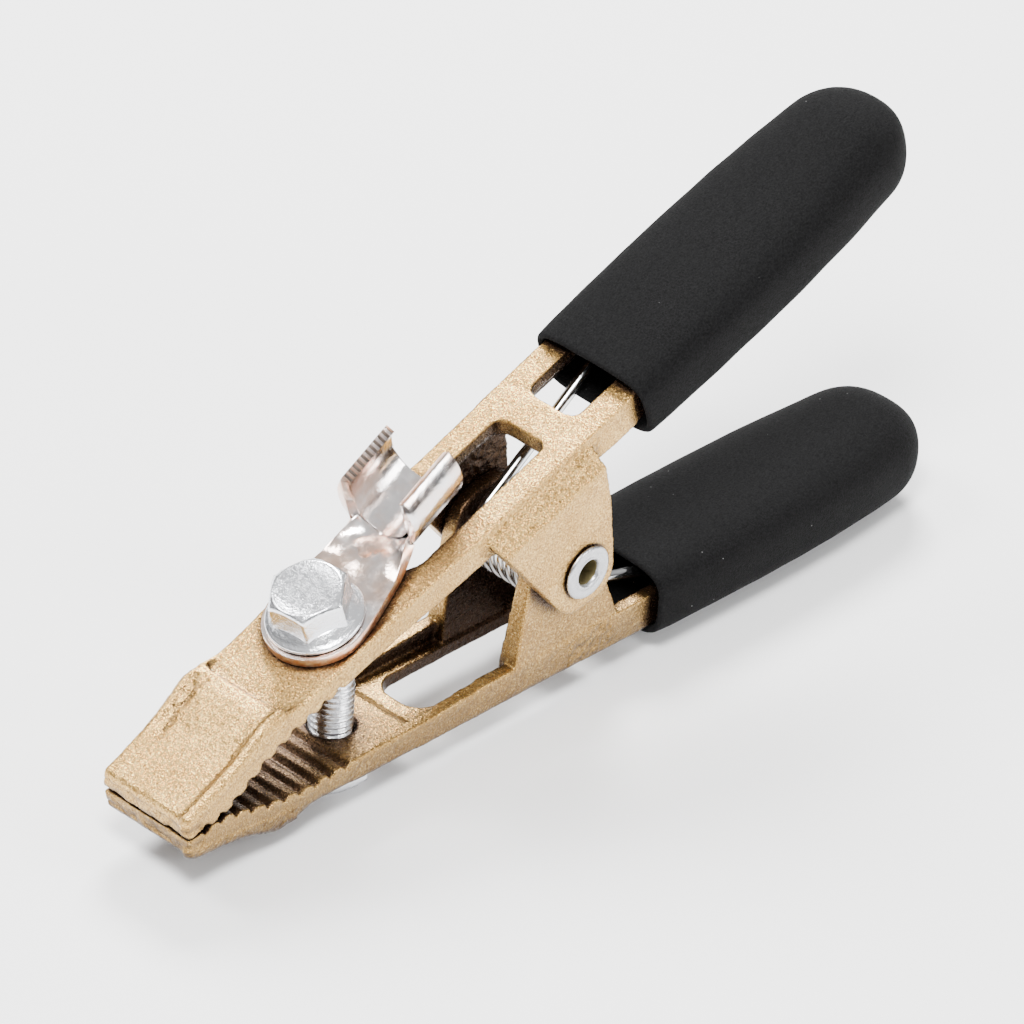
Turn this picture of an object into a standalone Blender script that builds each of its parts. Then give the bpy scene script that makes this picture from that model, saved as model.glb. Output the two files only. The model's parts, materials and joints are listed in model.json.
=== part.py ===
"""Spring-loaded ground clamp: two cast brass arms on a hollow rivet, with foam grips and a crimp lug.

Everything is modelled with the pivot axis along Y at the origin, the closed jaws' meeting plane at
z = 0, the nose towards -X and the handles towards +X. The upper arm is drawn with +Z outwards, and
the lower arm is the same casting mirrored in z = 0 with its own ears. At the end the whole clamp is
tilted and lowered, so that it stands on its lower grip and on the lower bolt's head.
"""

from math import acos, atan2, ceil, cos, hypot, pi, radians, sin, tan

import bmesh
import bpy
from mathutils import Matrix, Vector

MM = 0.001
GAP = 0.3                    # left between two solids that touch on the real clamp

# Arms, in millimetres
NOSE_X = -114.5              # front of the jaws
RIDGE_X = -86.5              # crest behind the nose pad
HANDLE_END_X = 88.0          # end of the handle, inside its grip
NOSE_HALF_WIDTH = 12.7
MOUTH_HALF_WIDTH = 13.6      # half width where the rails enter the grip
HANDLE_END_HALF_WIDTH = 10.0
MOUTH_X = 19.5               # where the rails enter the grip
CREST = ((-80.0, 14.0), (19.5, 32.7))            # outer face of the rails, x and z
STRAP_FLOOR = ((-83.8, 13.1), (-43.0, 20.75))    # floor under the bolt head, x and z
RAIL_INNER_Y = 7.0           # half width of the windows between the rails
WALL = 2.8                   # side walls of the channel
FLANGE = 3.2                 # outer wall of the channel
BAR = 4.4                    # cross-bar between the windows
FRONT_WINDOW = (-42.0, 1.3)
REAR_WINDOW = (9.8, 83.0)
SHOULDER = 1.5               # rounding along the arm's outer edges

# Underside of the upper arm, from the nose back to the grip: x, z and corner radius
JAW_LINE = ((-103.5, 0.15, 9.0), (-90.0, 6.2, 30.0), (-80.0, 8.9, 20.0))
RAIL_LINE = ((-68.0, 10.4, 20.0), (-44.5, 14.4, 20.0), (-26.0, 16.6, 20.0), (19.5, 24.2, 20.0))

# Jaws
TOOTH_COUNT = 10
TOOTH_PITCH = 4.5
FIRST_TOOTH_X = -109.5
TOOTH_DEPTH = 1.5

# Ears and pivot
UPPER_EAR_Y = (13.5, 17.4)
LOWER_EAR_Y = (9.8, 13.2)
LOWER_EAR_DRAFT = 0.06       # how fast the inner ears thicken away from their tips
RIVET_TUBE_RADIUS = 4.2
RIVET_BORE_RADIUS = 2.9
RIVET_FLANGE_RADIUS = 6.3
RIVET_FLANGE_THICKNESS = 1.1

# Grips
GRIP_START = (23.1, 28.0)    # centre of the mouth, x and z
GRIP_END = (100.8, 42.4)     # centre of the end dome
GRIP_MOUTH = (16.3, 8.8, 4.1)    # half width, half height and squareness of the section
GRIP_MIDDLE = (17.2, 10.4, 3.0)
GRIP_TAIL = (14.8, 12.4, 2.4)
GRIP_DOME = 15.3
GRIP_WALL = 1.5
GRIP_SIDES = 40

# Torsion spring
WIRE_RADIUS = 1.15
COIL_RADIUS = 9.4
COIL_HALF_LENGTH = 6.9
COIL_TURNS = 5
LEG_LENGTH = 40.0
LEG_RISE = radians(27.0)

# M10 bolts
BOLT_X = -61.9
M10_RADIUS = 5.0
HEX_FLATS = 16.0
FLANGE_RADIUS = 10.8
FLANGE_RIM = 1.1
LUG_SHANK = 17.0
LOWER_SHANK = 19.0
LOWER_BOLT_LEAN = radians(1.7)    # the tapped hole is a little off square

# Cable lug
LUG_THICKNESS = 2.2
LUG_YAW = radians(7.2)
PALM_RADIUS = 11.7
NECK_HALF = 8.7
BARREL_START = 25.2          # distance from the bolt to the barrel's front edge
BARREL_LENGTH = 16.4
BARREL_RADIUS = 9.2          # to the middle of the sheet
BARREL_ARC = radians(127)    # how far each wing curls round from the bottom
BARREL_RISE = -0.1           # height of the trough's bottom above the palm

# The standing clamp
TILT = radians(10.6)


# ---------------------------------------------------------------- scene and materials

def clear_scene():
    for obj in list(bpy.data.objects):
        bpy.data.objects.remove(obj, do_unlink=True)


def new_collection(name):
    collection = bpy.data.collections.new(name)
    bpy.context.scene.collection.children.link(collection)
    return collection


def material(name, colour, roughness, metallic):
    mat = bpy.data.materials.new(name)
    mat.use_nodes = True
    shader = mat.node_tree.nodes["Principled BSDF"]
    shader.inputs["Base Color"].default_value = (*colour, 1.0)
    shader.inputs["Roughness"].default_value = roughness
    shader.inputs["Metallic"].default_value = metallic
    mat.diffuse_color = (*colour, 1.0)
    return mat


# ---------------------------------------------------------------- shape helpers

def fillet(corners, step=radians(22.5)):
    """Round each (u, v, radius) corner of a closed outline with an arc."""
    points = []
    for i, (u, v, radius) in enumerate(corners):
        here = Vector((u, v))
        before = (Vector(corners[i - 1][:2]) - here).normalized()
        after = (Vector(corners[(i + 1) % len(corners)][:2]) - here).normalized()
        angle = acos(max(-1.0, min(1.0, before.dot(after))))
        if radius <= 0.0 or angle > pi - 0.01:
            points.append(here)
            continue
        reach = radius / tan(angle / 2)
        centre = here + (before + after).normalized() * radius / sin(angle / 2)
        start = here + before * reach - centre
        turn = pi - angle
        if before.cross(after) > 0:
            turn = -turn
        count = max(1, ceil(abs(turn) / step))
        for k in range(count + 1):
            a = turn * k / count
            spoke = Vector((start.x * cos(a) - start.y * sin(a), start.x * sin(a) + start.y * cos(a)))
            points.append(centre + spoke)
    return [(p.x, p.y) for p in points]


def to_mesh(obj, collection):
    """Turn an object with its modifiers, or a curve, into a plain welded mesh object."""
    bpy.context.view_layer.update()
    evaluated = obj.evaluated_get(bpy.context.evaluated_depsgraph_get())
    mesh = bpy.data.meshes.new_from_object(evaluated)
    bm = bmesh.new()
    bm.from_mesh(mesh)
    bmesh.ops.remove_doubles(bm, verts=bm.verts, dist=0.00001)
    bm.to_mesh(mesh)
    bm.free()
    solid = bpy.data.objects.new(obj.name + "_solid", mesh)
    solid.matrix_world = obj.matrix_world
    collection.objects.link(solid)
    bpy.data.objects.remove(obj, do_unlink=True)
    return solid


def plate(name, outline, low, high, collection, axis="Y"):
    """A flat outline in (u, v) millimetres, extruded from low to high along an axis.

    Along Y the outline is (x, z); along Z it is (x, y).
    """
    curve = bpy.data.curves.new(name, "CURVE")
    curve.dimensions = "2D"
    curve.fill_mode = "BOTH"
    curve.extrude = (high - low) / 2 * MM
    spline = curve.splines.new("POLY")
    spline.points.add(len(outline) - 1)
    for point, (u, v) in zip(spline.points, outline):
        point.co = (u * MM, v * MM, 0.0, 1.0)
    spline.use_cyclic_u = True
    obj = bpy.data.objects.new(name, curve)
    collection.objects.link(obj)
    middle = (low + high) / 2 * MM
    if axis == "Y":
        obj.matrix_world = Matrix.Translation((0, middle, 0)) @ Matrix.Rotation(pi / 2, 4, "X")
    else:
        obj.matrix_world = Matrix.Translation((0, 0, middle))
    solid = to_mesh(obj, collection)
    bake(solid)
    return solid


def bake(obj, matrix=None):
    """Move an object's placement, after an optional extra matrix, into its mesh."""
    full = (matrix or Matrix.Identity(4)) @ obj.matrix_world
    obj.data.transform(full)
    if full.determinant() < 0:
        obj.data.flip_normals()
    obj.matrix_world = Matrix.Identity(4)


def turned(name, profile, collection, steps=32):
    """A solid turned about Z from an (radius, z) profile that runs from top to bottom."""
    mesh = bpy.data.meshes.new(name)
    points = [(r * MM, 0, z * MM) for r, z in profile]
    mesh.from_pydata(points, [(i, i + 1) for i in range(len(profile) - 1)], [])
    obj = bpy.data.objects.new(name, mesh)
    collection.objects.link(obj)
    screw = obj.modifiers.new("turn", "SCREW")
    screw.steps = steps
    screw.render_steps = steps
    screw.use_merge_vertices = True
    screw.merge_threshold = 0.00001
    return to_mesh(obj, collection)


def combine(obj, others, operation):
    """Apply one exact Boolean for each other object, then remove those objects."""
    for other in others:
        boolean = obj.modifiers.new(operation.lower(), "BOOLEAN")
        boolean.operation = operation
        boolean.solver = "EXACT"
        boolean.object = other
    bpy.context.view_layer.update()
    evaluated = obj.evaluated_get(bpy.context.evaluated_depsgraph_get())
    mesh = bpy.data.meshes.new_from_object(evaluated)
    obj.modifiers.clear()
    obj.data = mesh
    for other in others:
        bpy.data.objects.remove(other, do_unlink=True)


def bevel(obj, width, segments=2, angle=radians(35)):
    modifier = obj.modifiers.new("edges", "BEVEL")
    modifier.width = width * MM
    modifier.segments = segments
    modifier.limit_method = "ANGLE"
    modifier.angle_limit = angle
    bpy.context.view_layer.update()
    mesh = bpy.data.meshes.new_from_object(obj.evaluated_get(bpy.context.evaluated_depsgraph_get()))
    obj.modifiers.clear()
    obj.data = mesh


# ---------------------------------------------------------------- the two cast arms

def along(line, x):
    """Height of a straight line through two (x, z) points."""
    (x0, z0), (x1, z1) = line
    return z0 + (z1 - z0) * (x - x0) / (x1 - x0)


def crest(x):
    """Height of the rail crests above the meeting plane."""
    return along(CREST, x)


def half_width(x):
    if x < RIDGE_X:
        return NOSE_HALF_WIDTH
    if x <= MOUTH_X:
        return along(((RIDGE_X, NOSE_HALF_WIDTH), (MOUTH_X, MOUTH_HALF_WIDTH)), x)
    return along(((MOUTH_X, MOUTH_HALF_WIDTH), (HANDLE_END_X, HANDLE_END_HALF_WIDTH)), x)


def arm_outline():
    axis = along((GRIP_START, GRIP_END), HANDLE_END_X)
    handle_top = axis + 6.2
    handle_bottom = axis - 2.0
    corners = [
        (NOSE_X, GAP / 2, 0.5),
        (NOSE_X, 5.2, 1.8),
        (-99.0, 9.5, 12.0),
        (-90.2, 14.4, 3.0),
        (-84.5, 15.0, 3.0),
        (-79.5, crest(-79.5), 5.0),
        (MOUTH_X, crest(MOUTH_X), 0.0),
        (HANDLE_END_X, handle_top, 3.0),
        (HANDLE_END_X, handle_bottom, 3.0),
        *reversed(RAIL_LINE),
        *reversed(JAW_LINE),
    ]
    return fillet(corners)


def taper(obj, inset=0.0):
    """Bring a slab of unit half width (in millimetres) to the arm's width along its length."""
    for vertex in obj.data.vertices:
        vertex.co.y *= half_width(vertex.co.x / MM) - inset


def strap_frame(x):
    """Placement on the upper strap: origin on the surface, Z square to it, X along it."""
    slope = atan2(STRAP_FLOOR[1][1] - STRAP_FLOOR[0][1], STRAP_FLOOR[1][0] - STRAP_FLOOR[0][0])
    z = along(STRAP_FLOOR, x)
    return Matrix.Translation((x * MM, 0, z * MM)) @ Matrix.Rotation(-slope, 4, "Y")


def jaw_height(x):
    """Height of the toothed face's straight stretches, and its slope there."""
    line = [(NOSE_X, GAP / 2), *[(u, v) for u, v, _ in JAW_LINE], RAIL_LINE[0][:2]]
    for (x0, z0), (x1, z1) in zip(line, line[1:]):
        if x <= x1:
            return z0 + (z1 - z0) * (x - x0) / (x1 - x0), atan2(z1 - z0, x1 - x0)
    return line[-1][1], 0.0


def tooth_gaps(cutters):
    """The valleys between the jaw's cross teeth."""
    valleys = []
    for i in range(TOOTH_COUNT):
        x = FIRST_TOOTH_X + TOOTH_PITCH * i
        z, slope = jaw_height(x)
        half = TOOTH_PITCH * 0.36
        outline = fillet([(-half, -1.0, 0), (half, -1.0, 0), (half * 0.9, 0.3, 0.4), (0, TOOTH_DEPTH, 0.5)])
        turn = [(x + u * cos(slope) - v * sin(slope), z + u * sin(slope) + v * cos(slope)) for u, v in outline]
        valleys.append(plate(f"valley_{i}", turn, -20, 20, cutters))
    return valleys


def window(name, span, front_radius, rear_radius, cutters):
    """A rounded opening between the rails, drawn in plan."""
    front, rear = span
    side = RAIL_INNER_Y
    outline = fillet([(front, -side, front_radius), (rear, -side, rear_radius),
                      (rear, side, rear_radius), (front, side, front_radius)])
    return plate(name, outline, 0, 80, cutters, axis="Z")


def channel(cutters):
    """The hollow between the side walls, from behind the bolt to the end of the handle."""
    stops = (-46.0, FRONT_WINDOW[1] - 3.0, FRONT_WINDOW[1] - 1.5, REAR_WINDOW[0] + 1.5, REAR_WINDOW[0] + 3.0)
    depths = (FLANGE, FLANGE, BAR, BAR, FLANGE)
    roof = [(x, crest(x) - depth) for x, depth in zip(stops, depths)]
    end = HANDLE_END_X - 2.5
    tail = along((GRIP_START, GRIP_END), HANDLE_END_X) + 6.2 - FLANGE
    outline = [(-55.0, 8.0), *roof, (MOUTH_X, crest(MOUTH_X) - FLANGE), (end, tail), (end, 5.0)]
    hollow = plate("channel", outline, -1, 1, cutters)
    taper(hollow, inset=WALL)
    return hollow


def blank(name, collection, cutters):
    """The casting that both arms share: nose pad, strap, rails and handle, without its ears."""
    body = plate(name, arm_outline(), -1, 1, collection)
    taper(body)
    bevel(body, SHOULDER)

    floor_cut = [*STRAP_FLOOR, (-38.0, crest(-38.0) + 5), (-84.6, crest(-84.6) + 5)]
    pad_cut = [(-104.0, 8.3), (-98.6, 9.0), (-89.6, 13.7), (-89.1, 20.0), (-104.0, 20.0)]
    bore = M10_RADIUS + GAP
    hole = turned("bolt_hole", [(0, 10), (bore, 10), (bore, -12), (0, -12)], cutters)
    bake(hole, strap_frame(BOLT_X))
    cuts = [
        channel(cutters),
        window("front_window", FRONT_WINDOW, 5.5, 2.5, cutters),
        window("rear_window", REAR_WINDOW, 2.5, 5.5, cutters),
        plate("strap_floor", floor_cut, -11.7, 11.7, cutters),
        plate("pad_floor", pad_cut, -9.4, 9.4, cutters),
        *tooth_gaps(cutters),
        hole,
    ]
    combine(body, cuts, "DIFFERENCE")
    return body


def pivot_hole(cutters):
    bore = RIVET_TUBE_RADIUS + GAP
    hole = turned("pivot_hole", [(0, 30), (bore, 30), (bore, -30), (0, -30)],
                  cutters, steps=28)
    bake(hole, Matrix.Rotation(pi / 2, 4, "X"))
    return hole


def upper_ears(collection, cutters):
    """Outer ears: raised bosses outside the rails, with a slope where each meets its rail."""
    outline = fillet([
        (-24.3, 21.5, 1.0), (-6.2, -9.4, 6.5), (8.6, -9.4, 7.0), (9.4, 14.0, 8.0),
        (8.0, crest(8.0) - 1.5, 1.5),
        (-24.3, crest(-24.3) - 1.5, 0.5)])
    ears = []
    for side in (-1, 1):
        low, high = sorted((side * UPPER_EAR_Y[0], side * UPPER_EAR_Y[1]))
        ear = plate("ear", outline, low, high, collection)
        inner, outer = side * (UPPER_EAR_Y[0] - 0.1), side * (UPPER_EAR_Y[1] + 2.0)
        slope = bmesh.new()
        rows = []
        for x in (-40.0, 30.0):
            top = crest(x)
            section = [(inner, top - 1.8), (outer, top - 9.4), (outer, top + 6.0), (inner, top + 6.0)]
            rows.append([slope.verts.new((x * MM, y * MM, z * MM)) for y, z in section])
        slope.faces.new(rows[0])
        slope.faces.new(reversed(rows[1]))
        for k in range(4):
            slope.faces.new((rows[0][k - 1], rows[1][k - 1], rows[1][k], rows[0][k]))
        bmesh.ops.recalc_face_normals(slope, faces=slope.faces)
        mesh = bpy.data.meshes.new("ear_slope")
        slope.to_mesh(mesh)
        slope.free()
        wedge = bpy.data.objects.new("ear_slope", mesh)
        cutters.objects.link(wedge)
        combine(ear, [wedge], "DIFFERENCE")
        ears.append(ear)
    return ears


def lower_ears(collection):
    """Inner ears, drawn with +Z outwards like the arm: a triangle that rounds over the rivet."""
    outline = fillet([
        (-20.6, 24.5, 0), (-10.2, -9.6, 8.6), (9.6, -9.6, 8.6), (9.9, 11.0, 5.0), (13.2, 25.0, 0)])
    ears = []
    inner, outer = LOWER_EAR_Y
    for side in (-1, 1):
        low, high = sorted((side * inner, side * outer))
        ear = plate("ear", outline, low, high, collection)
        for vertex in ear.data.vertices:
            if abs(vertex.co.y) < (inner + outer) / 2 * MM:
                vertex.co.y -= side * LOWER_EAR_DRAFT * (vertex.co.z + 9.6 * MM)
        ears.append(ear)
    return ears


def make_arm(name, ears, collection, cutters, brass, mirrored):
    arm = blank(name, collection, cutters)
    combine(arm, ears, "UNION")
    combine(arm, [pivot_hole(cutters)], "DIFFERENCE")
    if mirrored:
        bake(arm, Matrix.Scale(-1, 4, (0, 0, 1)))
    finish(arm, name, brass)
    return arm


def finish(obj, name, mat):
    """Name a part, give it its material and shade its curved faces smooth."""
    obj.name = name
    obj.data.name = name
    obj.data.materials.clear()
    obj.data.materials.append(mat)
    obj.data.shade_smooth()
    obj.data.set_sharp_from_angle(angle=radians(32))
    return obj


# ---------------------------------------------------------------- grips

def grip_ring(distance, half_y, half_n, squareness):
    """One rounded-rectangle section, in the grip's own frame (X along the grip)."""
    ring = []
    power = 2 / squareness
    for k in range(GRIP_SIDES):
        a = 2 * pi * k / GRIP_SIDES
        y = half_y * abs(cos(a)) ** power * (1 if cos(a) >= 0 else -1)
        n = half_n * abs(sin(a)) ** power * (1 if sin(a) >= 0 else -1)
        ring.append((distance, y, n))
    return ring


def grip_section(t):
    """Half width, half height and squareness at a fraction t of the straight length."""
    curve = []
    for a, b, c in zip(GRIP_MOUTH, GRIP_MIDDLE, GRIP_TAIL):
        if t < 0.45:
            u = t / 0.45
            curve.append(a + (b - a) * u * (2 - u))
        else:
            u = (t - 0.45) / 0.55
            curve.append(b + (c - b) * u * u)
    return curve


def grip_skin(length, inset):
    """Sections of one skin from the mouth to the end dome, and the dome's tip."""
    sections = []
    for k in range(9):
        half_y, half_n, squareness = grip_section(k / 8)
        sections.append((length * k / 8, half_y - inset, half_n - inset, squareness))
    reach = GRIP_DOME - inset
    _, half_y, half_n, squareness = sections[-1]
    for k in range(1, 7):
        a = pi / 2 * k / 7
        sections.append((length + reach * sin(a), half_y * cos(a), half_n * cos(a), squareness))
    return sections, length + reach


def make_grip(name, collection, foam, mirrored):
    """A foam sleeve: an outer skin and an inner one, joined round the mouth's lip."""
    (x0, z0), (x1, z1) = GRIP_START, GRIP_END
    outer, outer_tip = grip_skin(hypot(x1 - x0, z1 - z0), 0.0)
    inner, inner_tip = grip_skin(hypot(x1 - x0, z1 - z0), GRIP_WALL)
    _, half_y, half_n, squareness = inner[0]
    lip = [(0.0, half_y + 0.1 * GRIP_WALL, half_n + 0.1 * GRIP_WALL, squareness),
           (-0.5, half_y + 0.5 * GRIP_WALL, half_n + 0.5 * GRIP_WALL, squareness),
           (0.0, half_y + 0.9 * GRIP_WALL, half_n + 0.9 * GRIP_WALL, squareness)]
    inner[0] = (0.7, half_y, half_n, squareness)
    outer[0] = (0.7, *outer[0][1:])
    bm = bmesh.new()
    rings = []
    for section in [*reversed(inner), *lip, *outer]:
        rings.append([bm.verts.new([v * MM for v in point]) for point in grip_ring(*section)])
    for a, b in zip(rings, rings[1:]):
        for k in range(GRIP_SIDES):
            bm.faces.new((a[k - 1], a[k], b[k], b[k - 1]))
    for ring, tip in ((rings[0], inner_tip), (rings[-1], outer_tip)):
        apex = bm.verts.new((tip * MM, 0, 0))
        for k in range(GRIP_SIDES):
            bm.faces.new((ring[k - 1], ring[k], apex))
    bmesh.ops.recalc_face_normals(bm, faces=bm.faces)
    mesh = bpy.data.meshes.new(name)
    bm.to_mesh(mesh)
    bm.free()
    grip = bpy.data.objects.new(name, mesh)
    collection.objects.link(grip)
    rise = atan2(z1 - z0, x1 - x0)
    bake(grip, Matrix.Translation((x0 * MM, 0, z0 * MM)) @ Matrix.Rotation(-rise, 4, "Y"))
    if mirrored:
        bake(grip, Matrix.Scale(-1, 4, (0, 0, 1)))
    return finish(grip, name, foam)


# ---------------------------------------------------------------- rivet and spring

def make_rivet(collection, zinc):
    """A hollow tube with a rolled-over flange against each outer ear."""
    face = UPPER_EAR_Y[1] + GAP
    top = face + RIVET_FLANGE_THICKNESS
    bore, tube, flange = RIVET_BORE_RADIUS, RIVET_TUBE_RADIUS, RIVET_FLANGE_RADIUS
    half = [(bore, 0), (bore, top - 0.9), (bore + 0.35, top - 0.25), (bore + 1.0, top), (flange - 1.2, top),
            (flange - 0.3, top - 0.35), (flange, face + 0.35), (flange - 0.15, face), (tube, face), (tube, 0)]
    profile = [(r, z) for r, z in half if z > 0]
    below = [(r, -z) for r, z in reversed(profile)]
    outline = profile + below
    mesh = bpy.data.meshes.new("pivot_rivet")
    edges = [(i, (i + 1) % len(outline)) for i in range(len(outline))]
    mesh.from_pydata([(r * MM, 0, z * MM) for r, z in outline], edges, [])
    rivet = bpy.data.objects.new("pivot_rivet", mesh)
    collection.objects.link(rivet)
    screw = rivet.modifiers.new("turn", "SCREW")
    screw.steps = screw.render_steps = 40
    screw.use_merge_vertices = True
    screw.merge_threshold = 0.00001
    rivet = to_mesh(rivet, collection)
    bake(rivet, Matrix.Rotation(pi / 2, 4, "X"))
    outward(rivet)
    return finish(rivet, "pivot_rivet", zinc)


def outward(obj):
    bm = bmesh.new()
    bm.from_mesh(obj.data)
    bmesh.ops.recalc_face_normals(bm, faces=bm.faces)
    bm.to_mesh(obj.data)
    bm.free()


def make_spring(collection, steel):
    """Close-wound coil round the rivet; its near leg lies in the lower handle, its far leg in the upper."""
    first = -pi / 2 - LEG_RISE            # where the lower leg runs onto the coil
    last = pi / 2 + LEG_RISE
    turns = COIL_TURNS + (first - last) / (2 * pi) + 1
    count = int(20 * turns)
    points = []
    for k in range(count + 1):
        a = first - 2 * pi * turns * k / count
        y = COIL_HALF_LENGTH * (2 * k / count - 1)
        points.append(Vector((COIL_RADIUS * cos(a), y, COIL_RADIUS * sin(a))))
    lower_end = points[0] + Vector((cos(LEG_RISE), 0, -sin(LEG_RISE))) * LEG_LENGTH
    upper_end = points[-1] + Vector((cos(LEG_RISE), 0, sin(LEG_RISE))) * LEG_LENGTH
    points = [lower_end, *points, upper_end]
    curve = bpy.data.curves.new("torsion_spring", "CURVE")
    curve.dimensions = "3D"
    curve.bevel_depth = WIRE_RADIUS * MM
    curve.bevel_resolution = 2
    curve.use_fill_caps = True
    spline = curve.splines.new("POLY")
    spline.points.add(len(points) - 1)
    for point, co in zip(spline.points, points):
        point.co = (*(co * MM), 1.0)
    spring = bpy.data.objects.new("torsion_spring", curve)
    collection.objects.link(spring)
    spring = to_mesh(spring, collection)
    outward(spring)
    return finish(spring, "torsion_spring", steel)


# ---------------------------------------------------------------- bolts

def hexagon(flats):
    corner = flats / 2 / cos(pi / 6)
    return [(corner * cos(pi / 3 * k + pi / 6), corner * sin(pi / 3 * k + pi / 6)) for k in range(6)]


def hex_head(name, flats, low, high, collection, cutters):
    """A hexagon whose top corners are turned off to a cone."""
    head = plate(name, hexagon(flats), low, high, collection, axis="Z")
    face = flats / 2 - 0.4
    rim = flats / 2 + 3.0
    drop = (rim - face) * tan(radians(28))
    cone = turned("chamfer", [(0, high + 1), (face - 1 / tan(radians(28)), high + 1), (rim, high - drop),
                              (rim, low - 4), (0, low - 4)], cutters, steps=36)
    combine(head, [cone], "INTERSECT")
    return head


def make_lug_bolt(collection, cutters, zinc):
    """M10 hexagon flange bolt, drawn on +Z with the flange's underside at z = 0."""
    head = hex_head("lug_bolt", HEX_FLATS, 1.5, 9.3, collection, cutters)
    turned_part = turned("flange", [
        (0, 3.4), (HEX_FLATS / 2 - 0.3, 3.4), (HEX_FLATS / 2 + 0.6, 2.7),
        (FLANGE_RADIUS - 0.4, FLANGE_RIM + 0.2), (FLANGE_RADIUS, FLANGE_RIM - 0.2),
        (FLANGE_RADIUS, 0.25), (FLANGE_RADIUS - 0.25, 0), (M10_RADIUS, 0),
        (M10_RADIUS, -LUG_SHANK + 1), (M10_RADIUS - 1, -LUG_SHANK), (0, -LUG_SHANK)], cutters, steps=40)
    bake(turned_part, Matrix.Rotation(radians(4), 4, "Z"))
    combine(head, [turned_part], "UNION")
    seat = Matrix.Translation((0, 0, (LUG_THICKNESS + 2 * GAP) * MM))
    bake(head, strap_frame(BOLT_X) @ seat @ Matrix.Rotation(radians(6), 4, "Z"))
    return finish(head, "lug_bolt", zinc)


def make_lower_bolt(collection, cutters, zinc):
    """M10 hexagon bolt through the lower strap, drawn with its head outwards like the upper one."""
    head = hex_head("lower_bolt", HEX_FLATS, 0.0, 6.6, collection, cutters)
    shank = turned("shank", [
        (0, 2.0), (M10_RADIUS, 2.0), (M10_RADIUS, -LOWER_SHANK + 1.0), (M10_RADIUS - 1.0, -LOWER_SHANK),
        (0, -LOWER_SHANK)], cutters, steps=32)
    bake(shank, Matrix.Rotation(radians(4), 4, "Z"))
    combine(head, [shank], "UNION")
    seat = Matrix.Translation((0, 0, (GAP + 0.1) * MM))
    lean = Matrix.Rotation(LOWER_BOLT_LEAN, 4, "Y")
    place = strap_frame(BOLT_X) @ seat @ lean @ Matrix.Rotation(radians(20), 4, "Z")
    bake(head, Matrix.Scale(-1, 4, (0, 0, 1)) @ place)
    return finish(head, "lower_bolt", zinc)


# ---------------------------------------------------------------- cable lug

def lug_station(s):
    """Half width of the flattened sheet, its curl (1/mm) and the rise of its middle at distance s."""
    if s <= 0:
        return (PALM_RADIUS ** 2 - s ** 2) ** 0.5, 0.0, 0.0
    if s < BARREL_START:
        t = s / BARREL_START
        smooth = t * t * (3 - 2 * t)
        curl_start = 0.6
        curl = max(0.0, (t - curl_start) / (1 - curl_start)) ** 1.5 / BARREL_RADIUS
        return PALM_RADIUS + (NECK_HALF - PALM_RADIUS) * smooth, curl, BARREL_RISE * t ** 6
    return BARREL_ARC * BARREL_RADIUS, 1 / BARREL_RADIUS, BARREL_RISE


def lug_point(s, t):
    half, curl, rise = lug_station(s)
    u = half * t
    if curl < 1e-6:
        return s, u, rise
    return s, sin(u * curl) / curl, rise + (1 - cos(u * curl)) / curl


def make_lug(collection, cutters, copper):
    """Sheet-metal lug: round palm, neck and an open U barrel, as one surface thickened."""
    stations = [-PALM_RADIUS * cos(pi / 2 * k / 8) for k in range(1, 9)]
    stations += [BARREL_START * k / 10 for k in range(1, 10)]
    stations += [BARREL_START - 0.25, BARREL_START]
    stations += [BARREL_START + BARREL_LENGTH / 2, BARREL_START + BARREL_LENGTH]
    across = 32
    bm = bmesh.new()
    rows = []
    for s in stations:
        row = [lug_point(s, -1 + 2 * k / across) for k in range(across + 1)]
        rows.append([bm.verts.new([v * MM for v in point]) for point in row])
    for a, b in zip(rows, rows[1:]):
        for k in range(across):
            bm.faces.new((a[k], b[k], b[k + 1], a[k + 1]))
    tip = bm.verts.new((-PALM_RADIUS * MM, 0, 0))
    for k in range(across):
        bm.faces.new((rows[0][k], rows[0][k + 1], tip))
    bmesh.ops.recalc_face_normals(bm, faces=bm.faces)
    mesh = bpy.data.meshes.new("cable_lug")
    bm.to_mesh(mesh)
    bm.free()
    lug = bpy.data.objects.new("cable_lug", mesh)
    collection.objects.link(lug)
    solidify = lug.modifiers.new("sheet", "SOLIDIFY")
    solidify.thickness = LUG_THICKNESS * MM
    solidify.offset = 0.0
    lug = to_mesh(lug, collection)
    outward(lug)
    hole = turned("stud_hole", [(0, 9), (M10_RADIUS + 0.6, 9), (M10_RADIUS + 0.6, -9), (0, -9)], cutters)
    combine(lug, [hole], "DIFFERENCE")
    bake(lug, strap_frame(BOLT_X) @ Matrix.Rotation(LUG_YAW, 4, "Z")
         @ Matrix.Translation((0, 0, (LUG_THICKNESS / 2 + GAP) * MM)))
    return finish(lug, "cable_lug", copper)


# ---------------------------------------------------------------- the whole clamp

def main():
    clear_scene()
    parts = new_collection("ground_clamp")
    cutters = new_collection("cutters")
    brass = material("cast_brass", (0.55, 0.38, 0.20), 0.5, 1.0)
    foam = material("black_foam", (0.02, 0.02, 0.02), 0.9, 0.0)
    zinc = material("bright_zinc", (0.78, 0.80, 0.83), 0.25, 1.0)
    steel = material("spring_steel", (0.65, 0.65, 0.66), 0.2, 1.0)
    copper = material("tinned_copper", (0.80, 0.74, 0.71), 0.25, 1.0)

    made = [
        make_arm("upper_arm", upper_ears(parts, cutters), parts, cutters, brass, mirrored=False),
        make_arm("lower_arm", lower_ears(parts), parts, cutters, brass, mirrored=True),
        make_grip("upper_grip", parts, foam, mirrored=False),
        make_grip("lower_grip", parts, foam, mirrored=True),
        make_rivet(parts, zinc),
        make_spring(parts, steel),
        make_lug(parts, cutters, copper),
        make_lug_bolt(parts, cutters, zinc),
        make_lower_bolt(parts, cutters, zinc),
    ]
    stand(made, parts)


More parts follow.
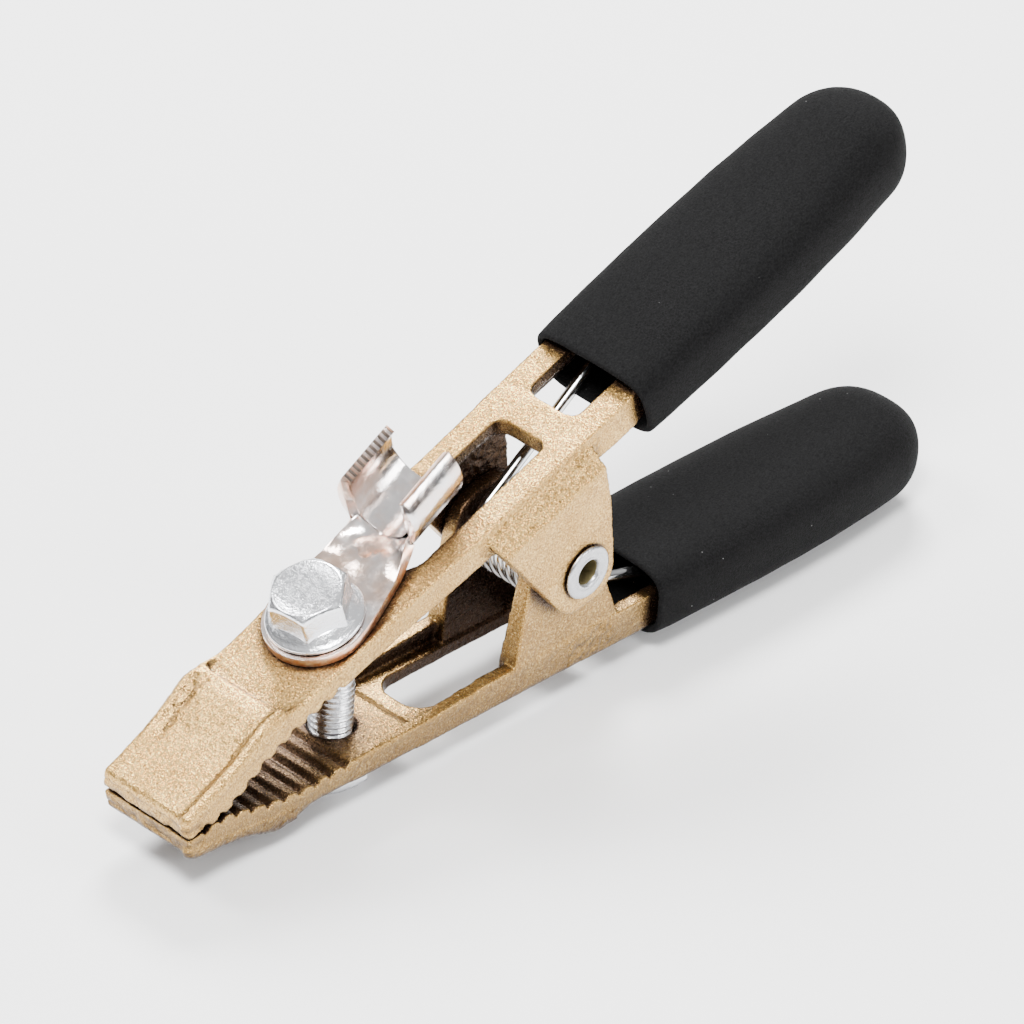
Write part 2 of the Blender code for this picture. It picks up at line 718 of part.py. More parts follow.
def stand(made, collection):
    """Hang every part on one empty, tilted and lowered so that the clamp stands at the origin."""
    root = bpy.data.objects.new("clamp", None)
    collection.objects.link(root)
    root.matrix_world = Matrix.Rotation(-TILT, 4, "Y")
    corners = [root.matrix_world @ v.co for obj in made for v in obj.data.vertices]
    low = [min(c[i] for c in corners) for i in range(3)]
    high = [max(c[i] for c in corners) for i in range(3)]
    root.location = (-(low[0] + high[0]) / 2, -(low[1] + high[1]) / 2, -low[2])
    for obj in made:
        obj.parent = root


main()
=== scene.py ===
"""Looks of the ground clamp: cast brass arms, foam grips, bright bolts, spring, rivet and a tinned lug.

Shapes are drawn in millimetres in the clamp's own frame, as in the CAD: the pivot axis is Y at
the origin, the nose points to -X and the jaws meet at z = 0. CLAMP takes that frame to the row frame.
"""

import json
from math import atan2, cos, exp, hypot, pi, radians, sin, tan

import bmesh
import bpy
import numpy as np
from mathutils import Matrix, Vector, noise


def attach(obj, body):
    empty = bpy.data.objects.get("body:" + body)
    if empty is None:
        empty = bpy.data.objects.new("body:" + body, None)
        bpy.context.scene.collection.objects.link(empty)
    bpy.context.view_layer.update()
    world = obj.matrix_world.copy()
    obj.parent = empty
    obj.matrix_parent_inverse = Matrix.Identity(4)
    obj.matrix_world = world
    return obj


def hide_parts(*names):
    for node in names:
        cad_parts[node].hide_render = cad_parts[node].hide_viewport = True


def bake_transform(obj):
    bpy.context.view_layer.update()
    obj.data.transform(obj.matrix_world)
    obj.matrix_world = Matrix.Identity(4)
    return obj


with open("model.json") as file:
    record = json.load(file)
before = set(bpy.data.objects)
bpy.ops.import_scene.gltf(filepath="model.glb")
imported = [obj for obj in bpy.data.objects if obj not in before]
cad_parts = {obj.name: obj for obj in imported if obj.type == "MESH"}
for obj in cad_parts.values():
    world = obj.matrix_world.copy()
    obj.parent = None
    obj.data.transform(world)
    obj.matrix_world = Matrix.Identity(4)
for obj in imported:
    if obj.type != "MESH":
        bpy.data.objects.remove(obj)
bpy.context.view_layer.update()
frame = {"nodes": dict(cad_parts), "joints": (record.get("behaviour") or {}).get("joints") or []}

MM = 0.001
TILT = radians(10.6)

VOXEL = 0.42                                 # size of the remeshed castings' cells in millimetres
OUTSIDE_PASSES = 10                          # how often the castings' outer edges are smoothed

# Bolts and lug, in millimetres
STRAP = ((-83.8, 13.1), (-43.0, 20.75))      # surface of the strap under the bolts, x and z
BOLT_X = -61.9
HEX_FLATS = 16.0
FLANGE_RADIUS = 10.8
M10_RADIUS = 5.0
PITCH = 1.5
THREAD_DEPTH = 0.75
THREAD_STEP = 0.125                          # distance from one ring of the thread to the next
THREAD_FLANK = 0.42                          # half width of the groove, in pitches
CREST_WEAR = 0.08                            # how far the crests are below the full radius
END_CHAMFER = (1.2, 0.7)                     # length and depth at the shank's tip
LOWER_BOLT_LEAN = radians(1.7)               # the lower bolt leans off square, as in the CAD
SEAT = 2.8                                   # top of the lug's palm above the strap
LUG_HEAD = (1.6, 9.3)                        # the hexagon's lowest and highest point above the seat
LUG_SHANK = 17.0
LUG_BOLT_TURN = radians(36)
LOWER_HEAD = (0.0, 6.6)
LOWER_SHANK = 19.0
LOWER_BOLT_TURN = radians(50)
LOWER_SEAT = 0.4                             # underside of the head off the lower strap
SHANK_OVERLAP = 0.4                          # how far a shank runs up into its head
LUG_THICKNESS = 2.2
LUG_GAP = 0.3                                # left between the palm and the strap
LUG_YAW = radians(7.2)
PALM_RADIUS = 11.7
NECK_HALF = 8.7
BARREL_START = 25.2
BARREL_LENGTH = 16.4
BARREL_RADIUS = 9.2
BARREL_ARC = radians(127)
BARREL_RISE = -0.1
DIMPLE = (17.5, 0.8, 4.0)                    # distance from the bolt, height and radius
NOTCH = 0.28                                 # depth of the notches on the far wing's edge
MARK_PITCH = 1.49                            # distance from one dark band to the next

# Torsion spring
WIRE_RADIUS = 1.3
COIL_RADIUS = 9.4
COIL_HALF_LENGTH = 6.9
COIL_TURNS = 5
LEG_LENGTH = 40.0
LEG_RISE = radians(27.0)

# Rivet
RIVET_FACE = 17.7
RIVET_FLANGE_RADIUS = 6.3
RIVET_BORE_RADIUS = 2.9
RIVET_TUBE_RADIUS = 4.2

# Light panels: name, place and size in metres, and power in watts
PANELS = (
    ("key", (-0.50, -0.30, 1.0), 0.35, 20.0),
    ("fill", (0.35, -0.95, 0.55), 0.5, 8.0),
    ("rim", (0.60, 0.64, 0.90), 0.5, 32.0),
    ("nose", (-0.45, 0.65, 0.90), 0.45, 9.0),
)

# Camera, in the clamp's frame
CAMERA_PLACE = (-1129.2, -1197.6, 1459.7)
CAMERA_RIGHT = (0.692239, -0.719423, -0.056878)
CAMERA_UP = (0.507104, 0.428835, 0.747627)
LENS = 361.4
SENSOR = 36.0

PIVOT = Vector(frame["joints"][0]["pos_m"])
CLAMP = Matrix.Translation(PIVOT) @ Matrix.Rotation(-TILT, 4, "Y") @ Matrix.Scale(MM, 4)


# ---------------------------------------------------------------- node materials

class Shader:
    """A new Principled material and short calls that add and join its nodes."""

    def __init__(self, name, roughness, metallic):
        self.material = bpy.data.materials.new(name)
        self.material.use_nodes = True
        self.tree = self.material.node_tree
        self.surface = self.tree.nodes["Principled BSDF"]
        self.surface.inputs["Roughness"].default_value = roughness
        self.surface.inputs["Metallic"].default_value = metallic
        self.coords = self.add("ShaderNodeTexCoord").outputs
        self.place = self.coords["Object"]

    def add(self, kind, inputs=None, **settings):
        node = self.tree.nodes.new(kind)
        for key, value in settings.items():
            setattr(node, key, value)
        for key, value in (inputs or {}).items():
            if isinstance(value, bpy.types.NodeSocket):
                self.tree.links.new(value, node.inputs[key])
            else:
                node.inputs[key].default_value = value
        return node

    def noise(self, scale, detail=3.0, rough=0.5):
        node = self.add("ShaderNodeTexNoise", {"Vector": self.place, "Scale": scale, "Detail": detail,
                                               "Roughness": rough})
        return node.outputs["Fac"]

    def grains(self, scale):
        node = self.add("ShaderNodeTexVoronoi", {"Vector": self.place, "Scale": scale})
        return node.outputs["Distance"]

    def fit(self, value, low, high, to_low=0.0, to_high=1.0):
        node = self.add("ShaderNodeMapRange", {0: value, 1: low, 2: high, 3: to_low, 4: to_high})
        return node.outputs[0]

    def math(self, operation, a, b):
        return self.add("ShaderNodeMath", {0: a, 1: b}, operation=operation).outputs[0]

    def mix(self, factor, a, b):
        node = self.add("ShaderNodeMix", data_type="RGBA")
        for key, value in ((0, factor), (6, a), (7, b)):
            if isinstance(value, bpy.types.NodeSocket):
                self.tree.links.new(value, node.inputs[key])
            else:
                node.inputs[key].default_value = value
        return node.outputs[2]

    def occlusion(self, distance):
        node = self.add("ShaderNodeAmbientOcclusion", {"Distance": distance}, samples=8)
        return node.outputs["AO"]

    def bump(self, height, distance, strength=1.0, normal=None):
        inputs = {"Height": height, "Distance": distance, "Strength": strength}
        if normal is not None:
            inputs["Normal"] = normal
        return self.add("ShaderNodeBump", inputs).outputs["Normal"]

    def wire(self, **sockets):
        names = {"colour": "Base Color", "rough": "Roughness", "normal": "Normal"}
        for key, value in sockets.items():
            self.tree.links.new(value, self.surface.inputs[names[key]])
        return self.material


def tinted(red, green, blue, tone=1.0):
    """A colour for a socket, made darker or lighter by tone."""
    return red * tone, green * tone, blue * tone, 1


def cast_brass(name, tone):
    """Sand-cast brass: golden grain with painted glints on it, and painted shade in the hollows, the
    grooves and on the inner walls.
    """
    s = Shader(name, 0.4, 0.85)
    grain = s.noise(2600, 2.0, 0.6)
    coarse = s.noise(1300, 2.0, 0.6)
    patches = s.noise(60, 4.0, 0.55)
    # Painted shade on the walls that face the clamp's middle plane, partly the casting's own browner
    # skin there
    wall_shade = s.fit(inward_walls(s), -0.75, -0.25)
    # Painted shade in the hollows and between the parts, from ambient occlusion
    hollow_shade = s.fit(s.occlusion(0.03), 0.58, 0.88)
    # Painted shade in the teeth's grooves and small creases, from short-range occlusion
    groove = s.fit(s.occlusion(0.004), 0.52, 0.90)
    # A tone below 1 gives a darker copy of the brass: painted shade, used for the lower arm
    colour = s.mix(s.fit(patches, 0.35, 0.65), tinted(0.57, 0.33, 0.09, tone),
                   tinted(0.71, 0.44, 0.14, tone))
    colour = s.mix(s.fit(grain, 0.38, 0.54), s.mix(0.72, colour, tinted(0.19, 0.095, 0.030)), colour)
    # Bright specks on the grain: painted glints
    colour = s.mix(s.fit(grain, 0.58, 0.72), colour, tinted(0.95, 0.68, 0.28))
    # Darken by the three masks of painted shade
    for open_share, depth, brown in ((wall_shade, 0.6, tinted(0.05, 0.025, 0.012)),
                                     (hollow_shade, 0.94, tinted(0.030, 0.014, 0.008)),
                                     (groove, 0.88, tinted(0.040, 0.020, 0.010))):
        colour = s.mix(open_share, s.mix(depth, colour, brown), colour)
    rough = s.fit(coarse, 0.3, 0.7, 0.36, 0.18)
    normal = s.bump(coarse, 0.00012)
    normal = s.bump(grain, 0.00011, normal=normal)
    return s.wire(colour=colour, rough=rough, normal=normal)


def inward_walls(s):
    """Sideways part of the surface's direction: negative where it faces the clamp's middle plane; masks
    the inner walls' painted shade.
    """
    facing = s.add("ShaderNodeSeparateXYZ", {0: s.coords["Normal"]}).outputs["Y"]
    side = s.add("ShaderNodeSeparateXYZ", {0: s.place}).outputs["Y"]
    return s.math("MULTIPLY", facing, s.math("SIGN", side, 0.0))


def black_foam():
    """Closed-cell foam with a fine matt grain and a little pale dust."""
    s = Shader("black_foam_cells", 0.86, 0.0)
    s.surface.inputs["Specular IOR Level"].default_value = 0.1
    cells = s.noise(2300, 3.0, 0.75)
    dust = s.fit(s.grains(300), 0.055, 0.03)
    dusty = s.fit(s.noise(45), 0.54, 0.6)
    colour = s.mix(s.fit(cells, 0.35, 0.65), tinted(0.0006, 0.0006, 0.0007),
                   tinted(0.0085, 0.0085, 0.0088))
    colour = s.mix(s.math("MULTIPLY", dust, dusty), colour, tinted(0.25, 0.25, 0.25))
    normal = s.bump(s.noise(1200, 3.0, 0.7), 0.00025, 0.6)
    normal = s.bump(cells, 0.00028, 1.0, normal)
    return s.wire(colour=colour, normal=normal)


def bright_zinc(name="bright_zinc_plate", roughness=0.2, tone=1.0):
    """Zinc plate with a slight cloudiness, and painted shade in the seams."""
    s = Shader(name, roughness, 1.0)
    cloud = s.noise(420, 3.0, 0.6)
    # Painted shade in seams and gaps between parts, such as under the flange, from short-range
    # occlusion
    seam_shade = s.fit(s.occlusion(0.0008), 0.20, 0.60)
    colour = s.mix(cloud, tinted(0.90, 0.92, 0.96, tone), tinted(0.98, 0.98, 1.0, tone))
    colour = s.mix(seam_shade, tinted(0.28, 0.27, 0.26), colour)
    rough = s.fit(s.noise(900, 4.0, 0.6), 0.3, 0.7, roughness - 0.08, roughness + 0.10)
    normal = s.bump(s.noise(1500, 3.0, 0.6), 0.00012, 0.8)
    return s.wire(colour=colour, rough=rough, normal=normal)


def spring_steel():
    """Bright drawn wire."""
    s = Shader("spring_wire", 0.16, 1.0)
    colour = s.mix(s.noise(300, 2.0), tinted(0.62, 0.62, 0.62), tinted(0.88, 0.88, 0.88))
    rough = s.fit(s.noise(800, 3.0), 0.3, 0.7, 0.10, 0.26)
    return s.wire(colour=colour, rough=rough)


def tinned_copper():
    """Thin tin over copper, with a rosy cast where the tin is thin."""
    s = Shader("tinned_sheet", 0.16, 1.0)
    thin = s.fit(s.noise(60, 4.0, 0.6), 0.40, 0.64)
    colour = s.mix(thin, tinted(0.90, 0.86, 0.85), tinted(0.88, 0.62, 0.48))
    rough = s.fit(s.noise(420, 5.0, 0.65), 0.3, 0.7, 0.08, 0.28)
    normal = s.bump(s.noise(330, 3.0, 0.5), 0.0002, 0.6)
    return s.wire(colour=colour, rough=rough, normal=normal)


def rivet_bore():
    """Inside of the rivet's bore, painted olive brown: a painted reflection of the brass around it, and
    painted shade.
    """
    s = Shader("rivet_bore", 0.4, 0.6)
    # Painted reflection and painted shade inside the bore
    colour = s.mix(s.noise(600, 3.0), tinted(0.10, 0.08, 0.035), tinted(0.30, 0.25, 0.12))
    return s.wire(colour=colour)


def cut_copper():
    """Bare copper where the sheet was cut, with smears of tin."""
    s = Shader("cut_copper_edge", 0.3, 1.0)
    smear = s.fit(s.noise(500, 3.0), 0.4, 0.65)
    colour = s.mix(smear, tinted(0.80, 0.44, 0.28), tinted(0.90, 0.72, 0.62))
    return s.wire(colour=colour)


def dark_edge_band():
    """Dark band across the lug's cut edge."""
    s = Shader("dark_edge_band", 0.5, 0.8)
    colour = s.mix(s.noise(900, 3.0), tinted(0.02, 0.016, 0.014), tinted(0.20, 0.15, 0.12))
    return s.wire(colour=colour)


# ---------------------------------------------------------------- mesh helpers

def keep(obj, body, material, replaces=()):
    """Finish a piece: link it, give it its material, attach it to its body and hide the CAD parts it
    replaces.
    """
    if obj.name not in bpy.context.scene.collection.objects:
        bpy.context.scene.collection.objects.link(obj)
    if not obj.data.materials:
        obj.data.materials.append(material)
    if body:
        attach(obj, body)
    if replaces:
        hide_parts(*replaces)
    return obj


def baked(obj):
    """Turn an object with its modifiers into a plain mesh object of the same name."""
    bpy.context.scene.collection.objects.link(obj)
    bpy.context.view_layer.update()
    mesh = bpy.data.meshes.new_from_object(obj.evaluated_get(bpy.context.evaluated_depsgraph_get()))
    name = obj.name
    mesh.transform(obj.matrix_world)
    bpy.data.objects.remove(obj, do_unlink=True)
    mesh.name = name
    return bpy.data.objects.new(name, mesh)


def mesh_object(name, points, faces, placement=CLAMP):
    """A smooth-shaded mesh object from points in millimetres."""
    mesh = bpy.data.meshes.new(name)
    mesh.from_pydata([tuple(p) for p in points], [], faces)
    mesh.transform(placement)
    bm = bmesh.new()
    bm.from_mesh(mesh)
    bmesh.ops.recalc_face_normals(bm, faces=bm.faces)
    bm.to_mesh(mesh)
    bm.free()
    mesh.shade_smooth()
    return bpy.data.objects.new(name, mesh)


def loft(rings, closed=False, capped=False):
    """Points and quads of a tube through rings that all have the same number of points."""
    count = len(rings[0])
    points = [p for ring in rings for p in ring]
    faces = []
    pairs = [(i, (i + 1) % len(rings)) for i in range(len(rings) if closed else len(rings) - 1)]
    for a, b in pairs:
        for k in range(count):
            n = (k + 1) % count
            faces.append((a * count + k, a * count + n, b * count + n, b * count + k))
    if capped:
        faces.append(tuple(range(count)))
        faces.append(tuple(range((len(rings) - 1) * count, len(rings) * count)))
    return points, faces


def turned_rings(profile, steps):
    """Rings of a turned shape about Z, from (radius, height) points."""
    turns = [2 * pi * k / steps for k in range(steps)]
    return [[(r * cos(a), r * sin(a), z) for a in turns] for r, z in profile]


def strap_place(turn=0.0, height=0.0, lean=0.0, lower=False):
    """Placement on the strap at the bolt, Z square to it; the lower arm's is mirrored in z = 0."""
    (x0, z0), (x1, z1) = STRAP
    slope = atan2(z1 - z0, x1 - x0)
    seat = Vector((BOLT_X, 0, z0 + (z1 - z0) * (BOLT_X - x0) / (x1 - x0)))
    local = (Matrix.Translation(seat) @ Matrix.Rotation(-slope, 4, "Y")
             @ Matrix.Translation((0, 0, height)) @ Matrix.Rotation(lean, 4, "Y")
             @ Matrix.Rotation(turn, 4, "Z"))
    if lower:
        local = Matrix.Scale(-1, 4, (0, 0, 1)) @ local
    return CLAMP @ local


# ---------------------------------------------------------------- cast arms

def cast_arm(node, body, material):
    """The CAD arm with its edges melted as in a casting and a slightly uneven skin."""
    obj = bpy.data.objects.new(node + "_cast", frame["nodes"][node].data.copy())
    obj.data.materials.clear()
    voxels = obj.modifiers.new("voxels", "REMESH")
    voxels.mode = "VOXEL"
    voxels.voxel_size = VOXEL * MM
    voxels.use_smooth_shade = True
    melt = obj.modifiers.new("melt", "SMOOTH")
    melt.factor = 0.5
    melt.iterations = 3
    obj = baked(obj)
    soften_outside(obj)
    swell(obj, cast_skin)
    obj.data.shade_smooth()
    return keep(obj, body, material, replaces=(node,))


def soften_outside(obj):
    """Round the outer edges further, and leave the teeth and the pivot bores alone."""
    inverse = CLAMP.inverted()
    group = obj.vertex_groups.new(name="outside")
    chosen = []
    for vertex in obj.data.vertices:
        place = inverse @ vertex.co
        if abs(place.z) > 3.0 + max(0.0, (place.x + 104) * 0.36) and hypot(place.x, place.z) > 10.5:
            chosen.append(vertex.index)
    group.add(chosen, 1.0, "REPLACE")
    points = np.empty(len(obj.data.vertices) * 3, np.float32)
    obj.data.vertices.foreach_get("co", points)
    points = points.reshape(-1, 3)
    edges = np.empty(len(obj.data.edges) * 2, np.int32)
    obj.data.edges.foreach_get("vertices", edges)
    edges = edges.reshape(-1, 2)
    share = np.zeros((len(points), 1), np.float32)
    share[chosen] = 0.5
    for _ in range(OUTSIDE_PASSES):
        total = np.zeros_like(points)
        count = np.zeros((len(points), 1), np.float32)
        for here, there in ((0, 1), (1, 0)):
            np.add.at(total, edges[:, here], points[edges[:, there]])
            np.add.at(count, edges[:, here], 1.0)
        points += (total / count - points) * share
    obj.data.vertices.foreach_set("co", points.ravel())
    obj.data.update()


def bell(distance, width):
    """Smooth hump of height 1 and the given half width."""
    return exp(-(distance / width) ** 2)


def ledge(distance):
    """1 on the negative side and 0 on the positive side, with a slope 1 mm wide between them."""
    return min(1.0, max(0.0, 0.5 - distance))


def cast_skin(place):
    """Height of the cast skin at a point, both in millimetres."""
    x, y, z = place
    side, high = abs(y), abs(z)
    height = (0.10 * noise.noise(place * 0.22) + 0.05 * noise.noise(place * 0.7)
              + 0.04 * noise.noise(place * 1.5))
    on_pad = x < -84.0 and high > 0.30 * (x + 114.5) + 2.6
    behind_ridge = -88.0 < x < -81.0 and high > 10.5
    on_lip = x < -110.5 and high < 3.5
    on_ear_band = 13.4 < side < 17.25 and -27.0 < x < 10.5 and 9.0 < high < 12.8 + (x + 80) * 0.188
    if on_pad:
        height += pad_skin(place, x, y, side)
    if behind_ridge:
        height -= 0.7 * bell(x + 84.4 - 0.02 * y, 0.5) * ledge(side - 9.8)
    if on_lip:
        height += min(0.05, 0.45 * noise.noise(place * 0.45) - 0.15)
    if on_ear_band:
        height += 0.30 * noise.noise(place * 1.2) + 0.20 * noise.noise(place * 0.7)
    return height


def pad_skin(place, x, y, side):
    """Nose pad with its recess nearly filled, beads and creases along both edges, and flow marks."""
    flow = 0.18 * bell(noise.noise(place * 0.28), 0.03)
    recess = np.interp(x, (-102.5, -98.6, -89.8), (0.0, 0.58, 0.80))
    height = 0.07 * noise.noise(place * 0.9) - flow
    height += recess * ledge(side - 9.4) * ledge(x + 89.8)
    bead = 0.75 * bell(side - 11.3, 1.1)
    if y > 0:
        length = bell(min(0.0, x + 99.0), 4.0) * bell(max(0.0, x + 88.0), 1.5)
        crease = 0.6 * bell(side - 8.6 + 0.8 * noise.noise(place * 0.5), 0.5)
        return height + length * (bead * 1.2 - crease)
    length = bell(min(0.0, x + 104.0), 2.0) * bell(max(0.0, x + 95.0), 2.0)
    crease = 0.45 * length * bell(side - 9.0 + 0.4 * noise.noise(place * 0.5), 0.4)
    return height + bead - crease


def foam_skin(place):
    """Height of the foam's slow unevenness at a point, both in millimetres."""
    return 0.12 * noise.noise(place * 0.12)


def swell(obj, height):
    """Move every point along its normal by a height worked out in the clamp's frame, in millimetres."""
    count = len(obj.data.vertices)
    points = np.empty(count * 3, np.float32)
    normals = np.empty(count * 3, np.float32)
    obj.data.vertices.foreach_get("co", points)
    obj.data.vertices.foreach_get("normal", normals)
    points = points.reshape(-1, 3)
    normals = normals.reshape(-1, 3)
    inverse = CLAMP.inverted()
    lift = np.array([height(inverse @ Vector(p)) for p in points], np.float32)
    points += normals * lift[:, None] * MM
    obj.data.vertices.foreach_set("co", points.ravel())
    obj.data.update()


# ---------------------------------------------------------------- grips

def foam_grip(node, body, material):
    """The CAD sleeve, rounded further, with the foam's slow unevenness."""
    obj = bpy.data.objects.new(node + "_foam", frame["nodes"][node].data.copy())
    obj.data.materials.clear()
    weld = obj.modifiers.new("weld", "WELD")
    weld.merge_threshold = 0.00001
    smooth = obj.modifiers.new("smooth", "SUBSURF")
    smooth.levels = smooth.render_levels = 2
    obj = baked(obj)
    swell(obj, foam_skin)
    obj.data.shade_smooth()
    return keep(obj, body, material, replaces=(node,))


# ---------------------------------------------------------------- bolts

def threaded_shank(name, low, high, placement):
    """A closed rod with a real helical M10 thread from low to high."""
    steps = 60
    rows = int((high - low) / THREAD_STEP)
    chamfer_length, chamfer_depth = END_CHAMFER
    rings = []
    for i in range(rows + 1):
        z = low + (high - low) * i / rows
        lead = min(1.0, (z - low) / chamfer_length)
        ring = []
        for k in range(steps):
            a = 2 * pi * k / steps
            phase = (z / PITCH - a / (2 * pi)) % 1.0
            groove = max(0.0, 1.0 - abs(phase - 0.5) / THREAD_FLANK)
            r = (M10_RADIUS - CREST_WEAR - THREAD_DEPTH * min(groove, 0.92) * 0.9
                 - chamfer_depth * (1 - lead))
            ring.append((r * cos(a), r * sin(a), z))
        rings.append(ring)
    points, faces = loft(rings, capped=True)
    return mesh_object(name, points, faces, placement)


def hex_head(name, low, high, placement):
    """A bolt's hexagon with its top corners turned off and its top slightly dished."""
    across = 120
    rings = []
    heights = [low, low + 0.3, *[low + (high - low) * k / 14 for k in range(1, 14)], high - 0.12, high]
    for z in heights:
        cone = HEX_FLATS / 2 - 0.55 + (high - z) / tan(radians(30))
        ring = []
        for k in range(across):
            a = 2 * pi * k / across
            fold = (a % (pi / 3)) - pi / 6
            r = soft_min(HEX_FLATS / 2 / cos(fold), cone, 0.12)
            ring.append((r * cos(a), r * sin(a), z))
        rings.append(ring)
    top = rings[-1]
    for share, drop in ((0.93, 0.0), (0.86, 0.12), (0.5, 0.16), (0.02, 0.18)):
        rings.append([(x * share, y * share, z - drop) for x, y, z in top])
    points, faces = loft(rings, capped=True)
    return mesh_object(name, points, faces, placement)


def soft_min(a, b, width):
    """The smaller of two lengths, with a rounded change-over."""
    h = max(width - abs(a - b), 0.0) / width
    return min(a, b) - h * h * width / 4


def lug_bolt(material):
    """Hexagon flange bolt that holds the lug."""
    place = strap_place(LUG_BOLT_TURN, SEAT)
    head = hex_head("lug_bolt_hexagon", *LUG_HEAD, place)
    edge = FLANGE_RADIUS
    profile = [(0.05, 0.0), (4.0, 0.0), (edge - 0.5, 0.0), (edge - 0.15, 0.1), (edge, 0.4),
               (edge, 0.85), (edge - 0.2, 1.12), (edge - 0.7, 1.3), (9.6, 1.75), (8.9, 2.3),
               (8.3, 2.9), (7.6, 3.3), (0.05, 3.3)]
    points, faces = loft(turned_rings(profile, 120), capped=True)
    flange = mesh_object("lug_bolt_flange", points, faces, place)
    shank = threaded_shank("lug_bolt_thread", -LUG_SHANK, SHANK_OVERLAP, place)
    keep(flange, "upper", material, replaces=("lug_bolt",))
    keep(head, "upper", material)
    keep(shank, "upper", material)


def lower_bolt(material):
    """Hexagon bolt through the lower arm, with its threaded end between the jaws."""
    place = strap_place(LOWER_BOLT_TURN, LOWER_SEAT, LOWER_BOLT_LEAN, lower=True)
    head = hex_head("lower_bolt_hexagon", *LOWER_HEAD, place)
    shank = threaded_shank("lower_bolt_thread", -LOWER_SHANK, SHANK_OVERLAP, place)
    keep(head, "lower", material, replaces=("lower_bolt",))
    keep(shank, "lower", material)


# ---------------------------------------------------------------- rivet and spring

def pivot_rivet(material, inside):
    """Hollow rivet with a rolled flange at each end."""
    bore, tube = RIVET_BORE_RADIUS, RIVET_TUBE_RADIUS
    flange, face = RIVET_FLANGE_RADIUS, RIVET_FACE
    half = [(bore, 0.0), (bore, face - 0.6), (bore + 0.05, face + 0.2), (bore + 0.35, face + 0.75),
            (bore + 0.6, face + 0.95), (bore + 0.95, face + 0.9), (bore + 1.15, face + 0.72),
            (flange - 1.6, face + 0.84), (flange - 0.8, face + 0.92), (flange - 0.25, face + 0.8),
            (flange, face + 0.45), (flange - 0.08, face + 0.12), (flange - 0.4, face),
            (tube, face), (tube, face - 0.8), (tube, 0.0)]
    other = [(r, -z) for r, z in reversed(half[1:-1])]
    points, faces = loft(turned_rings(half + other, 96), closed=True)
    rivet = mesh_object("pivot_rivet_rolled", points, faces, CLAMP @ Matrix.Rotation(pi / 2, 4, "X"))
    for finish in (material, inside):
        rivet.data.materials.append(finish)
    inverse = CLAMP.inverted()
    for polygon in rivet.data.polygons:
        centre = inverse @ polygon.center
        if hypot(centre.x, centre.z) < bore + 0.1 and abs(centre.y) < face + 0.3:
            polygon.material_index = 1
    return keep(rivet, "upper", material, replaces=("pivot_rivet",))


def torsion_spring(material):
    """Close-wound coil whose legs lie in the two handles, a still mesh that rides on neither arm; the
    real spring winds up as the jaws open.
    """
    first = -pi / 2 - LEG_RISE
    last = pi / 2 + LEG_RISE
    turns = COIL_TURNS + (first - last) / (2 * pi) + 1
    count = int(56 * turns)
    path = []
    for k in range(count + 1):
        a = first - 2 * pi * turns * k / count
        y = COIL_HALF_LENGTH * (2 * k / count - 1)
        path.append(Vector((COIL_RADIUS * cos(a), y, COIL_RADIUS * sin(a))))
    down = Vector((cos(LEG_RISE), 0, -sin(LEG_RISE)))
    up = Vector((cos(LEG_RISE), 0, sin(LEG_RISE)))
    lower_leg = [path[0] + down * LEG_LENGTH * k / 12 for k in range(12, 0, -1)]
    upper_leg = [path[-1] + up * LEG_LENGTH * k / 12 for k in range(1, 13)]
    path = [*lower_leg, *path, *upper_leg]
    angles = [2 * pi * k / 16 for k in range(16)]
    rings = []
    for i, p in enumerate(path):
        ahead = (path[min(i + 1, len(path) - 1)] - path[max(i - 1, 0)]).normalized()
        side = ahead.cross(Vector((0, 1, 0))).normalized()
        other = side.cross(ahead)
        rings.append([p + (side * cos(a) + other * sin(a)) * WIRE_RADIUS for a in angles])
    points, faces = loft(rings, capped=True)
    spring = mesh_object("torsion_spring_wire", points, faces)
    keep(spring, None, material)
    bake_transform(spring)
    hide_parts("torsion_spring")


# ---------------------------------------------------------------- cable lug

def lug_point(s, t):
    """Middle of the lug's sheet at distance s along it and share t (-1 to 1) across it."""
    if s <= 0:
        half, curl, rise = (PALM_RADIUS ** 2 - s ** 2) ** 0.5, 0.0, 0.0
    elif s < BARREL_START:
        u = s / BARREL_START
        half = PALM_RADIUS + (NECK_HALF - PALM_RADIUS) * u * u * (3 - 2 * u)
        curl = max(0.0, (u - 0.6) / 0.4) ** 1.5 / BARREL_RADIUS
        rise = BARREL_RISE * u ** 6
    else:
        half, curl, rise = BARREL_ARC * BARREL_RADIUS, 1 / BARREL_RADIUS, BARREL_RISE
    across = half * t
    if s < BARREL_START:
        rise += DIMPLE[1] * exp(-((s - DIMPLE[0]) ** 2 + across ** 2) / DIMPLE[2] ** 2)
    if curl < 1e-6:
        return Vector((s, across, rise))
    return Vector((s, sin(across * curl) / curl, rise + (1 - cos(across * curl)) / curl))


